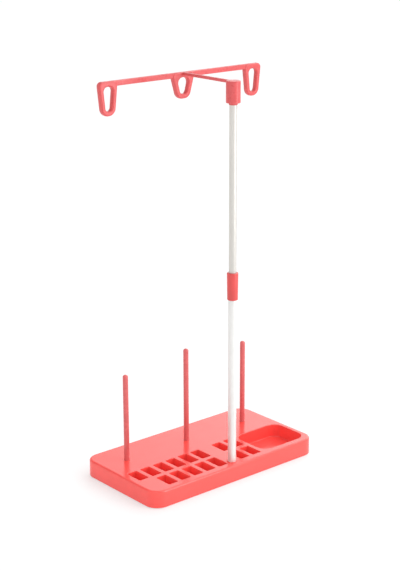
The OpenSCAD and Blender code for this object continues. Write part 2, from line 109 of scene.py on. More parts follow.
# Mast
MAST_FROM_FRONT, MAST_SEAT_T, MAST_BOSS_R, RING_W, RING_H = 12.0, 2.6, 6.4, 1.0, 0.7
UPPER_R, UPPER_WALL, UPPER_L = 4.3, 0.5, 258.0
LOWER_WALL, LOWER_L, TUBE_OVERLAP = 0.54, 226.0, 30.0
MAST_Y = MAST_FROM_FRONT - BASE_W / 2
UPPER_BORE, LOWER_BORE = UPPER_R - UPPER_WALL, UPPER_R + SLIDE_GAP
LOWER_R = LOWER_BORE + LOWER_WALL
RING_R = LOWER_R + SEAT_GAP + RING_W
MAST_FLOOR_Z = COVER_TOP + END_GAP + MAST_HEAD_H + WASHER_T
LOWER_Z = MAST_FLOOR_Z + MAST_SEAT_T
LOWER_TOP = LOWER_Z + LOWER_L
UPPER_Z = LOWER_TOP - TUBE_OVERLAP
UPPER_TOP = UPPER_Z + UPPER_L

# Lock collar, and the collet inside it
COLLAR_L, COLLAR_OVERLAP, COLLAR_LIP, COLLAR_BOTTOM_R, COLLAR_TOP_R = 32.0, 15.6, 4.0, 6.15, 6.55
COLLET_SKIRT, COLLET_WALL = 8.0, 0.6
COLLAR_Z = LOWER_TOP - COLLAR_OVERLAP
COLLAR_TOP = COLLAR_Z + COLLAR_L
COLLET_R = LOWER_R + SEAT_GAP + COLLET_WALL

# Guide: bush, head, arm and crossbar with its loops
BUSH_WALL, BUSH_TOP_T, BUSH_DROP = 0.53, 1.2, 2.1
HEAD_R, HEAD_H, HEAD_TOP_T = 8.1, 24.2, 3.0
ARM_W, ARM_H, ARM_L, ARM_EDGE_R = 3.6, 3.4, 86.5, 0.7
BAR_T, BAR_H, BAR_EDGE_R, BAR_END_R = 4.8, 6.0, 1.2, 1.5
LOOP_X, LOOP_T, LOOP_FLOOR, LOOP_EDGE_R, LOOP_TOP_R, LOOP_BOTTOM_R = 105.5, 7.0, 5.4, 2.3, 5.0, 9.0
OUTER_LOOP = dict(height=38.0, top_w=25.0, bottom_w=19.6, hole_top_w=12.2, hole_bottom_w=8.4)
MIDDLE_LOOP = dict(height=30.0, top_w=31.2, bottom_w=21.6, hole_top_w=14.6, hole_bottom_w=10.4)
# Width of a loop's hole over its corner radius, at the top and at the bottom
HOLE_TOP_RATIO, HOLE_BOTTOM_RATIO = 2.4, 2.3
BUSH_R = UPPER_R + SEAT_GAP + BUSH_WALL
BUSH_TOP = UPPER_TOP + BUSH_TOP_T
HEAD_CEILING = BUSH_TOP + END_GAP
GUIDE_TOP = HEAD_CEILING + HEAD_TOP_T
HEAD_Z = GUIDE_TOP - HEAD_H
BUSH_Z = HEAD_Z - BUSH_DROP
BAR_Y = MAST_Y + ARM_L


# Outlines and profiles
def rounded(corners, steps):
    """Rounds the corners (x, y, radius) of a closed path that runs anticlockwise, with a number of
    steps to a right angle. Gives [(point, outward normal)]."""
    made = []
    for i, (x, y, radius) in enumerate(corners):
        here = Vector((x, y))
        before = (here - Vector(corners[i - 1][:2])).normalized()
        after = (Vector(corners[(i + 1) % len(corners)][:2]) - here).normalized()
        turn = math.atan2(before.cross(after), before.dot(after))
        normal = Vector((before.y, -before.x))
        if radius <= 0 or abs(turn) < 1e-6:
            made.append((here, (normal + Vector((after.y, -after.x))).normalized()))
            continue
        side = 1 if turn > 0 else -1
        centre = here - before * radius * math.tan(abs(turn) / 2) - normal * side * radius
        parts = max(2, round(steps * abs(turn) / (math.pi / 2)))
        for k in range(parts + 1):
            way = normal.copy()
            way.rotate(Matrix.Rotation(turn * k / parts, 2))
            made.append((centre + way * side * radius, way))
    return made


def rectangle(x0, y0, x1, y1, radius, steps):
    return rounded([(x0, y0, radius), (x1, y0, radius), (x1, y1, radius), (x0, y1, radius)], steps)


def unit_circle(x, y, steps):
    turns = [2 * math.pi * k / steps for k in range(steps)]
    ways = [Vector((math.cos(t), math.sin(t))) for t in turns]
    return [(Vector((x, y)) + way, way) for way in ways]


def arc(start, end, steps, level=True):
    """A quarter of an ellipse between two points of a profile, level at its start or else upright."""
    turns = [math.radians(90 * k / steps) for k in range(steps + 1)]
    shares = [(math.sin(t), 1 - math.cos(t)) for t in turns]
    if not level:
        shares = [(up, out) for out, up in shares]
    return [(start[0] + (end[0] - start[0]) * out, start[1] + (end[1] - start[1]) * up)
            for out, up in shares]


def stepped(radii, heights):
    """The profile (r, z) of a stepped bore: each radius runs from one height to the next."""
    return [(r, z) for i, r in enumerate(radii) for z in heights[i:i + 2]]


def plate_edge(half, edge, steps):
    """The profile (offset, z) from the front of a plate to its back, with both edges rounded."""
    band = 0.1
    front = [(-edge - band, half)] + arc((-edge, half), (0, half - edge), steps)
    return front + [(offset, -z) for offset, z in front[::-1]]


def turned(corners, steps):
    """The profile (r, z) of a turned piece, from its corners (r, z, radius)."""
    return [tuple(point) for point, _ in rounded(corners, steps)]


# Meshes
class Form:
    """A mesh that is put together from rings of vertices. Heights run along its own Z axis."""

    def __init__(self):
        self.bm = bmesh.new()

    def ring(self, outline, offset, z):
        return [self.bm.verts.new((*(p + n * offset), z)) for p, n in outline]

    def skin(self, rings, inward=False):
        """Joins rings with faces. The faces look outward when the rings run from high to low."""
        for a, b in zip(rings, rings[1:]):
            for i in range(len(a)):
                j = (i + 1) % len(a)
                corners = (a[i], b[i], b[j], a[j])
                self.bm.faces.new(corners[::-1] if inward else corners)

    def sweep(self, outline, profile, inward=False):
        """Rings of one outline along a profile of (offset, z), with their faces."""
        rings = [self.ring(outline, offset, z) for offset, z in profile]
        self.skin(rings, inward)
        return rings

    def tower(self, x, y, profile, steps=32):
        """A boss or a bore about an upright axis, along a profile of (r, z) from the underside on."""
        return self.sweep(unit_circle(x, y, steps), [(r - 1, z) for r, z in profile])

    def cap(self, outer, holes=(), up=True):
        """Fills the flat region inside the ring outer and outside the rings in holes."""
        edges = []
        for loop in (outer, *holes):
            for a, b in zip(loop, loop[1:] + loop[:1]):
                edges.append(self.bm.edges.get((a, b)) or self.bm.edges.new((a, b)))
        made = bmesh.ops.triangle_fill(self.bm, use_beauty=True, edges=edges)["geom"]
        for face in made:
            if isinstance(face, bmesh.types.BMFace):
                face.normal_update()
                if (face.normal.z > 0) != up:
                    face.normal_flip()

    def lathe(self, profile, steps, x=0.0, y=0.0, radius=None):
        """Turns a closed profile of (r, z), anticlockwise with r to the right, about the upright axis at
        (x, y). radius(r, z, angle) may change the radius round the axis."""
        rings = []
        angles = [2 * math.pi * k / steps for k in range(steps)]
        for r, z in profile:
            if r < 1e-6:
                rings.append([self.bm.verts.new((x, y, z))])
            else:
                radii = [radius(r, z, a) if radius else r for a in angles]
                rings.append([self.bm.verts.new((x + q * math.cos(a), y + q * math.sin(a), z))
                              for q, a in zip(radii, angles)])
        for a, b in zip(rings, rings[1:] + rings[:1]):
            for i in range(steps):
                j = (i + 1) % steps
                corners = [a[i % len(a)], a[j % len(a)], b[j % len(b)], b[i % len(b)]]
                corners = list(dict.fromkeys(corners))
                if len(corners) > 2:
                    self.bm.faces.new(corners)

    def finish(self, name, material, matrix=None):
        """Makes the object, in metres, with smooth faces and its sharp edges marked."""
        if matrix is not None:
            self.bm.transform(matrix)
        self.bm.transform(Matrix.Scale(METRE, 4))
        mesh = bpy.data.meshes.new(name)
        self.bm.to_mesh(mesh)
        self.bm.free()
        return mesh_object(name, mesh, material)


def smooth(mesh):
    """Shades a mesh smooth, with edges that turn by more than 38 degrees left sharp."""
    for face in mesh.polygons:
        face.use_smooth = True
    mesh.set_sharp_from_angle(angle=math.radians(38))


def mesh_object(name, mesh, material):
    smooth(mesh)
    made = bpy.data.objects.new(name, mesh)
    bpy.context.scene.collection.objects.link(made)
    mesh.materials.append(material)
    return made


def combine(target, tool, operation="DIFFERENCE"):
    """Applies a boolean to target, deletes tool, and merges the points that lie too close together."""
    change = target.modifiers.new("combine", "BOOLEAN")
    change.operation, change.solver, change.object = operation, "EXACT", tool
    bpy.context.view_layer.update()
    view = bpy.context.evaluated_depsgraph_get()
    mesh = bpy.data.meshes.new_from_object(target.evaluated_get(view))
    target.modifiers.clear()
    target.data = mesh
    bpy.data.objects.remove(tool)
    merge, shortest_edge = 0.004, 0.001
    clean = bmesh.new()
    clean.from_mesh(mesh)
    bmesh.ops.remove_doubles(clean, verts=clean.verts, dist=merge * METRE)
    bmesh.ops.dissolve_degenerate(clean, edges=clean.edges, dist=shortest_edge * METRE)
    clean.to_mesh(mesh)
    clean.free()
    smooth(mesh)


def place(piece, node, body):
    """Makes a piece stand for a CAD node, on the node's body."""
    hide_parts(node)
    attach(piece, body)


# Materials. Nearly all of a noise's values lie between these two.
NOISE_LOW, NOISE_HIGH = 0.3, 0.7


class Shade:
    """Short calls for a node tree."""

    def __init__(self, name):
        self.material = bpy.data.materials.new(name)
        self.material.use_nodes = True
        self.tree = self.material.node_tree
        self.shader = self.tree.nodes["Principled BSDF"]
        self.place = self.add("ShaderNodeTexCoord").outputs["Object"]

    def add(self, kind, **values):
        node = self.tree.nodes.new(kind)
        for key, value in values.items():
            setattr(node, key, value)
        return node

    def link(self, source, target):
        self.tree.links.new(source, target)

    def spread(self, scale):
        """The object's coordinates, stretched by a scale per axis."""
        node = self.add("ShaderNodeMapping")
        self.link(self.place, node.inputs["Vector"])
        node.inputs["Scale"].default_value = scale
        return node.outputs["Vector"]

    def noise(self, scale, detail=2.0, rough=0.5, stretch=None):
        node = self.add("ShaderNodeTexNoise")
        self.link(self.spread(stretch) if stretch else self.place, node.inputs["Vector"])
        node.inputs["Scale"].default_value = scale
        node.inputs["Detail"].default_value = detail
        node.inputs["Roughness"].default_value = rough
        return node.outputs["Fac"]

    def ranged(self, source, low, high, start=NOISE_LOW, end=NOISE_HIGH):
        """A value from low to high while the source goes from start to end."""
        node = self.add("ShaderNodeMapRange")
        self.link(source, node.inputs["Value"])
        for key, value in (("From Min", start), ("From Max", end), ("To Min", low), ("To Max", high)):
            node.inputs[key].default_value = value
        return node.outputs["Result"]

    def tinted(self, noise, colour, dark, light):
        """The colour, from dark times to light times as bright as a noise rises."""
        node = self.add("ShaderNodeValToRGB")
        self.link(noise, node.inputs["Fac"])
        for stop, at, factor in zip(node.color_ramp.elements, (NOISE_LOW, NOISE_HIGH), (dark, light)):
            stop.position, stop.color = at, (*(min(1.0, c * factor) for c in colour), 1)
        return node.outputs["Color"]

    def bump(self, source, depth, before=None):
        """Bump by a height in millimetres."""
        node = self.add("ShaderNodeBump")
        node.inputs["Distance"].default_value = depth * METRE
        self.link(source, node.inputs["Height"])
        if before is not None:
            self.link(before, node.inputs["Normal"])
        return node.outputs["Normal"]

    def set(self, **values):
        for key, value in values.items():
            socket = self.shader.inputs[key.replace("_", " ")]
            if isinstance(value, bpy.types.NodeSocket):
                self.link(value, socket)
            else:
                socket.default_value = value


def moulded(name, colour, rough, waviness=0.03, grain=0.004, sheen=0.5):
    """Injection moulded plastic: faint flow marks and a fine orange peel."""
    s = Shade(name)
    flow = s.noise(scale=28, detail=3, rough=0.55, stretch=(1, 1.6, 2.2))
    dull = s.noise(scale=95, detail=4, rough=0.6)
    broad = s.bump(s.noise(scale=34, detail=1, rough=0.4), waviness)
    s.set(Base_Color=s.tinted(flow, colour, dark=0.955, light=1.035), IOR=1.5, Specular_IOR_Level=sheen,
          Roughness=s.ranged(dull, rough * 0.82, rough * 1.28),
          Normal=s.bump(s.noise(scale=1900), grain, broad))
    return s.material


def satin_tube(name, colour, rough, metal):
    """Drawn and anodised tube: long drawing lines, with roughness that follows them."""
    s = Shade(name)
    lines = s.noise(scale=900, detail=3, rough=0.6, stretch=(1, 1, 0.012))
    patches = s.noise(scale=30, stretch=(1, 1, 0.35))
    s.set(Base_Color=s.tinted(patches, colour, dark=0.965, light=1.03), Metallic=metal,
          Roughness=s.ranged(lines, rough * 0.8, rough * 1.25), Normal=s.bump(lines, depth=0.004))
    return s.material


def plated(name, colour, rough):
    """Zinc plate on steel, with a fine crystal pattern."""
    s = Shade(name)
    crystals = s.noise(scale=420, detail=3)
    s.set(Base_Color=s.tinted(crystals, colour, dark=0.9, light=1.08), Metallic=1.0,
          Roughness=s.ranged(s.noise(scale=700, detail=3), rough * 0.7, rough * 1.3),
          Normal=s.bump(s.noise(scale=1500), depth=0.006))
    return s.material


def rubber(name, colour):
    """Matt rubber with a dusty, grainy skin."""
    s = Shade(name)
    dust = s.noise(scale=500, detail=4)
    s.set(Base_Color=s.tinted(dust, colour, dark=0.8, light=1.25),
          Roughness=s.ranged(s.noise(scale=260, detail=3), low=0.62, high=0.85),
          Normal=s.bump(s.noise(scale=1300, detail=3), depth=0.02))
    return s.material


CORAL = moulded("coral_base", (0.95, 0.085, 0.073), rough=0.2, sheen=0.6)
# The pins are the base's coral plastic in a darker copy: painted shade for thin upright pins, which take
# less light
SHADED_PIN_CORAL = moulded("coral_pins_painted_shade", (0.65, 0.118, 0.118), rough=0.24, waviness=0.008)
COLLAR_CORAL = moulded("coral_collar", (0.67, 0.07, 0.067), rough=0.2, waviness=0.01)
GUIDE_CORAL = moulded("coral_guide", (0.66, 0.088, 0.091), rough=0.27, waviness=0.01)
INNER_CORAL = moulded("coral_matt", (0.72, 0.088, 0.08), rough=0.5, waviness=0.02, grain=0.012)
LOWER_SATIN = satin_tube("satin_tube_lower", (0.785, 0.78, 0.765), rough=0.38, metal=0.4)
UPPER_SATIN = satin_tube("satin_tube_upper", (0.64, 0.62, 0.585), rough=0.36, metal=0.5)
ZINC = plated("zinc_plate", (0.63, 0.63, 0.61), rough=0.34)
RUBBER = rubber("foot_rubber", (0.035, 0.035, 0.037))


# Base shell. Here, in the cover and in plate_edge, a flat band beside each rounded edge keeps the
# edge's shading off the wide flat faces.
def slot_places():
    """The front left corner of each slot. The front left place has a screw's boss and no slot."""
    columns = [FIRST_SLOT_X + i * SLOT_PITCH for i in range(LEFT_COLUMNS)]
    right_columns = [RIGHT_GROUP_X + i * SLOT_PITCH for i in range(RIGHT_COLUMNS)]
    return ([(x, BACK_ROW_Y) for x in columns] + [(x, FRONT_ROW_Y) for x in columns[1:]]
            + [(x, y) for x in right_columns for y in (FRONT_ROW_Y, BACK_ROW_Y)])


def pocket(form, outline, lip, floor_r):
    """The inside of a slot or the tray, with its lip at the deck. Gives the ring in the deck."""
    band = 0.4
    rim = arc((lip, DECK_Z), (0, DECK_Z - lip), steps=5)
    bend = arc((-POCKET_DRAFT, POCKET_FLOOR_Z + floor_r), (-POCKET_DRAFT - floor_r, POCKET_FLOOR_Z),
               steps=6, level=False)
    rings = form.sweep(outline, [(lip + band, DECK_Z)] + rim + bend, inward=True)
    form.cap(rings[-1], up=True)
    return rings[0]


def pocket_back(form, outline):
    """The outside of the same pocket under the deck. Gives the ring in the deck's underside."""
    under = POCKET_FLOOR_Z - POCKET_WALL
    bend = arc((POCKET_WALL, under + POCKET_BACK_R), (POCKET_WALL - POCKET_BACK_R, under), steps=4,
               level=False)
    rings = form.sweep(outline, [(POCKET_WALL, DECK_UNDER)] + bend)
    form.cap(rings[-1], up=False)
    return rings[0]


def screw_boss(form, x, y):
    """The boss of a cover screw, with its blind hole. Gives the ring in the deck's underside."""
    rings = form.tower(x, y, stepped([SCREW_BOSS_R, SCREW_HOLE_R], [DECK_UNDER, COVER_TOP, COVER_SCREW_END]))
    form.cap(rings[-1], up=False)
    return rings[0]


def pin_seat(form, x):
    """The boss of a spool pin, open from below to the deck. Gives its first and last rings."""
    rings = form.tower(x, PIN_Y, stepped(
        [PIN_BOSS_R, SCREW_HEAD_R + END_GAP, SCREW_HOLE_R, SPIGOT_R + SEAT_GAP],
        [DECK_UNDER, COVER_TOP, PIN_FLOOR_Z, PIN_SEAT_Z, DECK_Z]))
    return rings[0], rings[-1]


def mast_seat(form):
    """The socket of the mast, with the low ring round it on the deck. Gives its first and last rings."""
    chamfer, bend, band = 0.2, RING_H / 2, 0.35
    ring_top, seat_r = DECK_Z + RING_H, LOWER_R + SEAT_GAP
    socket = stepped([MAST_BOSS_R, WASHER_R + END_GAP, MAST_SCREW_R + SEAT_GAP, seat_r],
                     [DECK_UNDER, COVER_TOP, MAST_FLOOR_Z, LOWER_Z, ring_top - chamfer])
    crown = arc((RING_R - bend, ring_top), (RING_R, ring_top - bend), steps=4)
    root = arc((RING_R, DECK_Z + bend), (RING_R + bend, DECK_Z), steps=4, level=False)
    profile = socket + [(seat_r + chamfer, ring_top)] + crown + root[1:] + [(RING_R + bend + band, DECK_Z)]
    rings = form.tower(0, MAST_Y, profile, steps=64)
    return rings[0], rings[-1]


def base_shell():
    form = Form()
    outer = rectangle(-BASE_L / 2, -BASE_W / 2, BASE_L / 2, BASE_W / 2, CORNER_R, steps=14)
    band, foot_r = 0.6, 0.5
    rim = arc((-SIDE_DRAFT - EDGE_R, DECK_Z), (-SIDE_DRAFT, DECK_Z - EDGE_R), steps=8)
    bottom = arc((0, SHELL_Z + foot_r), (-foot_r, SHELL_Z), steps=4, level=False)
    inside = [(-WALL_T, SHELL_Z), (-WALL_T, DECK_UNDER)]
    walls = form.sweep(outer, [(-SIDE_DRAFT - EDGE_R - band, DECK_Z)] + rim + bottom + inside)

    deck_holes, under_holes = [], []
    for x, y in slot_places():
        outline = rectangle(x, y, x + SLOT_W, y + SLOT_L, SLOT_CORNER_R, steps=5)
        deck_holes.append(pocket(form, outline, SLOT_LIP, SLOT_FLOOR_R))
        under_holes.append(pocket_back(form, outline))
    for x, y in COVER_SCREWS:
        under_holes.append(screw_boss(form, x, y))
    seats = [pin_seat(form, x) for x, _ in PINS.values()] + [mast_seat(form)]
    for under_hole, deck_hole in seats:
        under_holes.append(under_hole)
        deck_holes.append(deck_hole)
    tray = rectangle(TRAY_X, FRONT_ROW_Y, TRAY_X + TRAY_L, FRONT_ROW_Y + TRAY_W, TRAY_R, steps=14)
    deck_holes.append(pocket(form, tray, TRAY_LIP, TRAY_FLOOR_R))
    under_holes.append(pocket_back(form, tray))
    form.cap(walls[0], deck_holes, up=True)
    form.cap(walls[-1], under_holes, up=False)
    place(form.finish("base_shell_moulding", CORAL), "base_shell", "base")


# Cover, screws and feet
def base_cover():
    """The cover, with a shallow panel inside a plain border and wells for the screws and feet."""
    form = Form()
    inset, soft, band = WALL_T + COVER_GAP, 0.5, 0.5
    outline = rectangle(-BASE_L / 2, -BASE_W / 2, BASE_L / 2, BASE_W / 2, CORNER_R, steps=12)
    edge = arc((-inset, SHELL_Z + soft), (-inset - soft, SHELL_Z), steps=4, level=False)
    walls = form.sweep(outline, [(-inset, COVER_TOP)] + edge + [(-inset - soft - band, SHELL_Z)])

    border, depth, border_band, panel_band = inset + 2.6, 0.35, 0.4, 0.35
    screw_well_r, screw_chamfer, screw_band = SCREW_HEAD_R + END_GAP, 0.15, 0.35
    foot_well_r, foot_chamfer, foot_band = FOOT_R + SEAT_GAP, 0.1, 0.16
    low = SHELL_Z + depth
    # The soft step from the border down to the panel, as (distance inward, height)
    step = [(0, 0), (0.15, 0.08), (0.35, depth - 0.08), (0.45, depth), (0.45 + panel_band, depth)]
    panel = form.sweep(outline, [(border_band - border, SHELL_Z)]
                       + [(-border - inward, SHELL_Z + height) for inward, height in step])
    panel_holes, top_holes = [], []
    screw_mouth = [(screw_well_r + screw_chamfer + screw_band, low), (screw_well_r + screw_chamfer, low)]
    screw_bore = stepped([screw_well_r, SCREW_R + END_GAP],
                         [low + screw_chamfer, SHELL_Z + SCREW_HEAD_H, COVER_TOP])
    for x, y in COVER_SCREWS:
        well = form.tower(x, y, screw_mouth + screw_bore, steps=40)
        panel_holes.append(well[0])
        top_holes.append(well[-1])
    foot_mouth = [(foot_well_r + foot_chamfer + foot_band, low), (foot_well_r + foot_chamfer, low)]
    foot_bore = stepped([foot_well_r], [low + foot_chamfer, FOOT_TOP])
    for x, y in FEET.values():
        well = form.tower(x, y, foot_mouth + foot_bore, steps=56)
        panel_holes.append(well[0])
        form.cap(well[-1], up=False)
    form.cap(walls[0], top_holes, up=True)
    form.cap(walls[-1], [panel[0]], up=False)
    form.cap(panel[-1], panel_holes, up=False)
    place(form.finish("base_cover_moulding", INNER_CORAL), "base_cover", "base")


def screw_mesh(radius, head_r, head_h, pitch, length):
    """A pan head screw that points up from z = 0, with a cross recess and a ridged thread."""
    dome_h, rim, end = head_h * 0.62, 0.12, head_h + length
    neck_r, core_r, tip_r = radius * 0.86, radius * 0.8, radius * 0.5
    thread_start, thread_end, tip = head_h + 0.3, end - 0.6, 0.5
    crest = (0.42 * pitch, 0.58 * pitch)
    head = arc((0, 0), (head_r, dome_h), steps=8)
    head += [(head_r, head_h - rim), (head_r - rim, head_h), (neck_r, head_h)]
    thread, z = [], thread_start
    while z + pitch < thread_end:
        thread += [(core_r, z), (radius, z + crest[0]), (radius, z + crest[1])]
        z += pitch
    form = Form()
    form.lathe(head + thread + [(core_r, end - tip), (tip_r, end), (0, end)], steps=40)
    screw = form.finish("screw", ZINC)

    reach, half_w, depth, taper, corner_r = head_r * 0.52, 0.38, head_h * 0.62, 0.16, 0.2
    arms = [(reach, half_w), (half_w, half_w), (half_w, reach),
            (-half_w, reach), (-half_w, half_w), (-reach, half_w)]
    arms += [(-x, -y) for x, y in arms]
    star = rounded([(x, y, corner_r) for x, y in arms], steps=3)
    recess = Form()
    rings = recess.sweep(star, [(0.0, -1.0), (0.0, 0.0), (-taper, depth)], inward=True)
    recess.cap(rings[0], up=False)
    recess.cap(rings[-1], up=True)
    combine(screw, recess.finish("recess", ZINC))
    mesh = screw.data
    bpy.data.objects.remove(screw)
    return mesh


def screw_set(name, node, mesh, spots):
    """Copies of one screw at (x, y, z), turned a little differently, as one piece."""
    first_turn, turn_step = 17, 41
    bm = bmesh.new()
    for i, spot in enumerate(spots):
        turn = Matrix.Rotation(math.radians(first_turn + turn_step * i), 4, "Z")
        copy = mesh.copy()
        copy.transform(Matrix.Translation(Vector(spot) * METRE) @ turn)
        bm.from_mesh(copy)
    made = bpy.data.meshes.new(name)
    bm.to_mesh(made)
    bm.free()
    place(mesh_object(name, made, ZINC), node, "base")


def foot(node, x, y):
    """A rubber foot that stands on a ring round a shallow hollow."""
    hollow_r, hollow_h, ring_r = 2.6, 0.35, 3.2
    corners = [(0, hollow_h, 0), (hollow_r, hollow_h, 0.4), (ring_r, 0, 0.25), (FOOT_R, 0, 0.45),
               (FOOT_R, FOOT_TOP, 0.15), (0, FOOT_TOP, 0)]
    form = Form()
    form.lathe(turned(corners, steps=5), steps=56, x=x, y=y)
    place(form.finish(node + "_rubber", RUBBER), node, "base")


# Spool pins
def spool_pin(node, x, height):
    """A pin with a slight taper, a rounded tip, a shoulder on the deck and two faint mould seams."""
    top, tip_h, tip_r = DECK_Z + height, PIN_R * PIN_TIP_RATIO, PIN_R - PIN_TAPER
    chamfer, straight = 0.2, 2.0
    hole_end = PIN_FLOOR_Z + PIN_SCREW_L + END_GAP
    seam_angle, seam_h, seam_w, seam_z, seam_least_r = math.radians(35), 0.05, 0.22, DECK_Z + 0.3, 2

    def with_seams(r, z, angle):
        off = (angle - seam_angle) % math.pi
        away = min(off, math.pi - off) * r
        seamed = z > seam_z and r > seam_least_r
        return r + seam_h * max(0, 1 - away / seam_w) if seamed else r

    profile = [(0, hole_end), (SCREW_HOLE_R, hole_end), (SCREW_HOLE_R, PIN_SEAT_Z),
               (SPIGOT_R - chamfer, PIN_SEAT_Z), (SPIGOT_R, PIN_SEAT_Z + chamfer), (SPIGOT_R, DECK_Z),
               (PIN_R - chamfer, DECK_Z), (PIN_R, DECK_Z + chamfer), (PIN_R, DECK_Z + straight)]
    tip = arc((tip_r, top - tip_h), (0, top), steps=10, level=False)
    form = Form()
    form.lathe(profile + tip, steps=72, x=x, y=PIN_Y, radius=with_seams)
    # The pins' darker coral is painted shade, not a different plastic
    place(form.finish(node + "_moulding", SHADED_PIN_CORAL), node, "base")


# Mast
def pipe(name, node, body, material, r, bore, z0, z1):
    outer_edge, inner_edge = 0.15, 0.12
    corners = [(bore, z0, inner_edge), (r, z0, outer_edge), (r, z1, outer_edge), (bore, z1, inner_edge)]
    form = Form()
    form.lathe(turned(corners, steps=3), steps=72, y=MAST_Y)
    place(form.finish(name, material), node, body)


def lock_collar():
    """The twist sleeve: its bore is wide round the collet, with a lip above it."""
    lower_r, upper_r, collet_r = LOWER_R + TURN_GAP, UPPER_R + SLIDE_GAP, COLLET_R + TURN_GAP
    collet_low, collet_high = LOWER_TOP - COLLET_SKIRT - END_GAP, COLLAR_TOP - COLLAR_LIP
    corners = [(lower_r, COLLAR_Z, 0.25), (COLLAR_BOTTOM_R, COLLAR_Z, 1.1),
               (COLLAR_TOP_R, COLLAR_TOP, 1.0), (upper_r, COLLAR_TOP, 0.25),
               (upper_r, collet_high, 0), (collet_r, collet_high, 0),
               (collet_r, collet_low, 0), (lower_r, collet_low, 0)]
    form = Form()
    form.lathe(turned(corners, steps=8), steps=96, y=MAST_Y)
    place(form.finish("lock_collar_moulding", COLLAR_CORAL), "lock_collar", "collar")


def head_bush():
    seat_r = UPPER_R + SEAT_GAP / 2
    corners = [(seat_r, BUSH_Z, 0.12), (BUSH_R, BUSH_Z, 0.3), (BUSH_R, BUSH_TOP, 0.3), (0, BUSH_TOP, 0),
               (0, UPPER_TOP, 0), (seat_r, UPPER_TOP, 0)]
    form = Form()
    form.lathe(turned(corners, steps=5), steps=72, y=MAST_Y)
    place(form.finish("head_bush_moulding", GUIDE_CORAL), "head_bush", "mast")


# Guide. LYING takes the arm, which is made along its own Z axis, to the rack's Y axis behind the mast.
# STANDING takes a plate, which is made lying flat, up to the plane of the crossbar.
LYING = Matrix(((1, 0, 0, 0), (0, 0, 1, MAST_Y), (0, 1, 0, GUIDE_TOP - ARM_H / 2), (0, 0, 0, 1)))
STANDING = Matrix(((1, 0, 0, 0), (0, 0, -1, BAR_Y), (0, 1, 0, GUIDE_TOP), (0, 0, 0, 1)))


def guide_arm():
    """The arm, from inside the head to the crossbar. Its root widens to the sides and downward."""
    root, flare, end = 6.2, 1.3, BAR_Y - LOOP_T / 2 - MAST_Y
    end_chamfer, end_inset = 0.3, 0.25
    section = rectangle(-ARM_W / 2, -ARM_H / 2, ARM_W / 2, ARM_H / 2, ARM_EDGE_R, steps=6)
    form = Form()

    def ring(offset, z):
        return [form.bm.verts.new((p.x + n.x * offset, p.y + min(n.y, 0) * offset, z)) for p, n in section]

    start = math.sqrt(HEAD_R ** 2 - (ARM_W / 2) ** 2)
    curve = arc((flare, start), (0, start + flare), steps=6)
    profile = [(flare, root)] + curve + [(0, end - end_chamfer), (-end_inset, end)]
    rings = [ring(offset, z) for offset, z in profile]
    form.skin(rings, inward=True)
    form.cap(rings[0], up=False)
    form.cap(rings[-1], up=True)
    # The matrix that lays the arm down also mirrors it, so its faces are turned round again
    bmesh.ops.reverse_faces(form.bm, faces=form.bm.faces)
    return form.finish("arm", GUIDE_CORAL, LYING)


def guide_head_arm():
    bore_r = BUSH_R + TURN_GAP
    corners = [(0, HEAD_CEILING, 0), (bore_r, HEAD_CEILING, 0.3), (bore_r, HEAD_Z, 0.25),
               (HEAD_R, HEAD_Z, 0.7), (HEAD_R, GUIDE_TOP, 0.9), (0, GUIDE_TOP, 0)]
    form = Form()
    form.lathe(turned(corners, steps=7), steps=96, y=MAST_Y)
    head = form.finish("guide_head_arm_moulding", GUIDE_CORAL)
    combine(head, guide_arm(), "UNION")
    place(head, "guide_head_arm", "guide")


def sloped(x, top, height, top_w, bottom_w, top_r, bottom_r):
    """The corners of a loop or its hole, whose sides touch the circles of its top and bottom corners:
    bottom left, bottom right, top right and top left."""
    a = Vector((top_w / 2 - top_r, -top_r))
    b = Vector((bottom_w / 2 - bottom_r, bottom_r - height))
    across = a - b
    lean = math.atan2(across.y, across.x) - math.acos((bottom_r - top_r) / across.length)
    n = Vector((math.cos(lean), math.sin(lean)))
    reach = n.dot(a) + top_r
    high, low = reach / n.x, (reach + n.y * height) / n.x
    return [(x - low, -top - height, bottom_r), (x + low, -top - height, bottom_r),
            (x + high, -top, top_r), (x - high, -top, top_r)]


def thread_loop(x, height, top_w, bottom_w, hole_top_w, hole_bottom_w):
    outer = sloped(x, 0, height, top_w, bottom_w, LOOP_TOP_R, LOOP_BOTTOM_R)
    hole = sloped(x, BAR_H, height - BAR_H - LOOP_FLOOR, hole_top_w, hole_bottom_w,
                  hole_top_w / HOLE_TOP_RATIO, hole_bottom_w / HOLE_BOTTOM_RATIO)
    profile = plate_edge(LOOP_T / 2, LOOP_EDGE_R, steps=7)
    form = Form()
    walls = form.sweep(rounded(outer, steps=14), profile)
    inner = form.sweep(rounded(hole, steps=14), [(-offset, z) for offset, z in profile], inward=True)
    form.cap(walls[0], [inner[0]], up=True)
    form.cap(walls[-1], [inner[-1]], up=False)
    return form.finish("loop", GUIDE_CORAL, STANDING)


def guide_crossbar():
    end = LOOP_X + OUTER_LOOP["top_w"] / 2 - LOOP_TOP_R
    outline = rectangle(-end, -BAR_H, end, 0, BAR_END_R, steps=4)
    form = Form()
    walls = form.sweep(outline, plate_edge(BAR_T / 2, BAR_EDGE_R, steps=6))
    form.cap(walls[0], up=True)
    form.cap(walls[-1], up=False)
    bar = form.finish("guide_crossbar_moulding", GUIDE_CORAL, STANDING)
    for x, loop in ((-LOOP_X, OUTER_LOOP), (0.0, MIDDLE_LOOP), (LOOP_X, OUTER_LOOP)):
        combine(bar, thread_loop(x, **loop), "UNION")
    place(bar, "guide_crossbar", "guide")


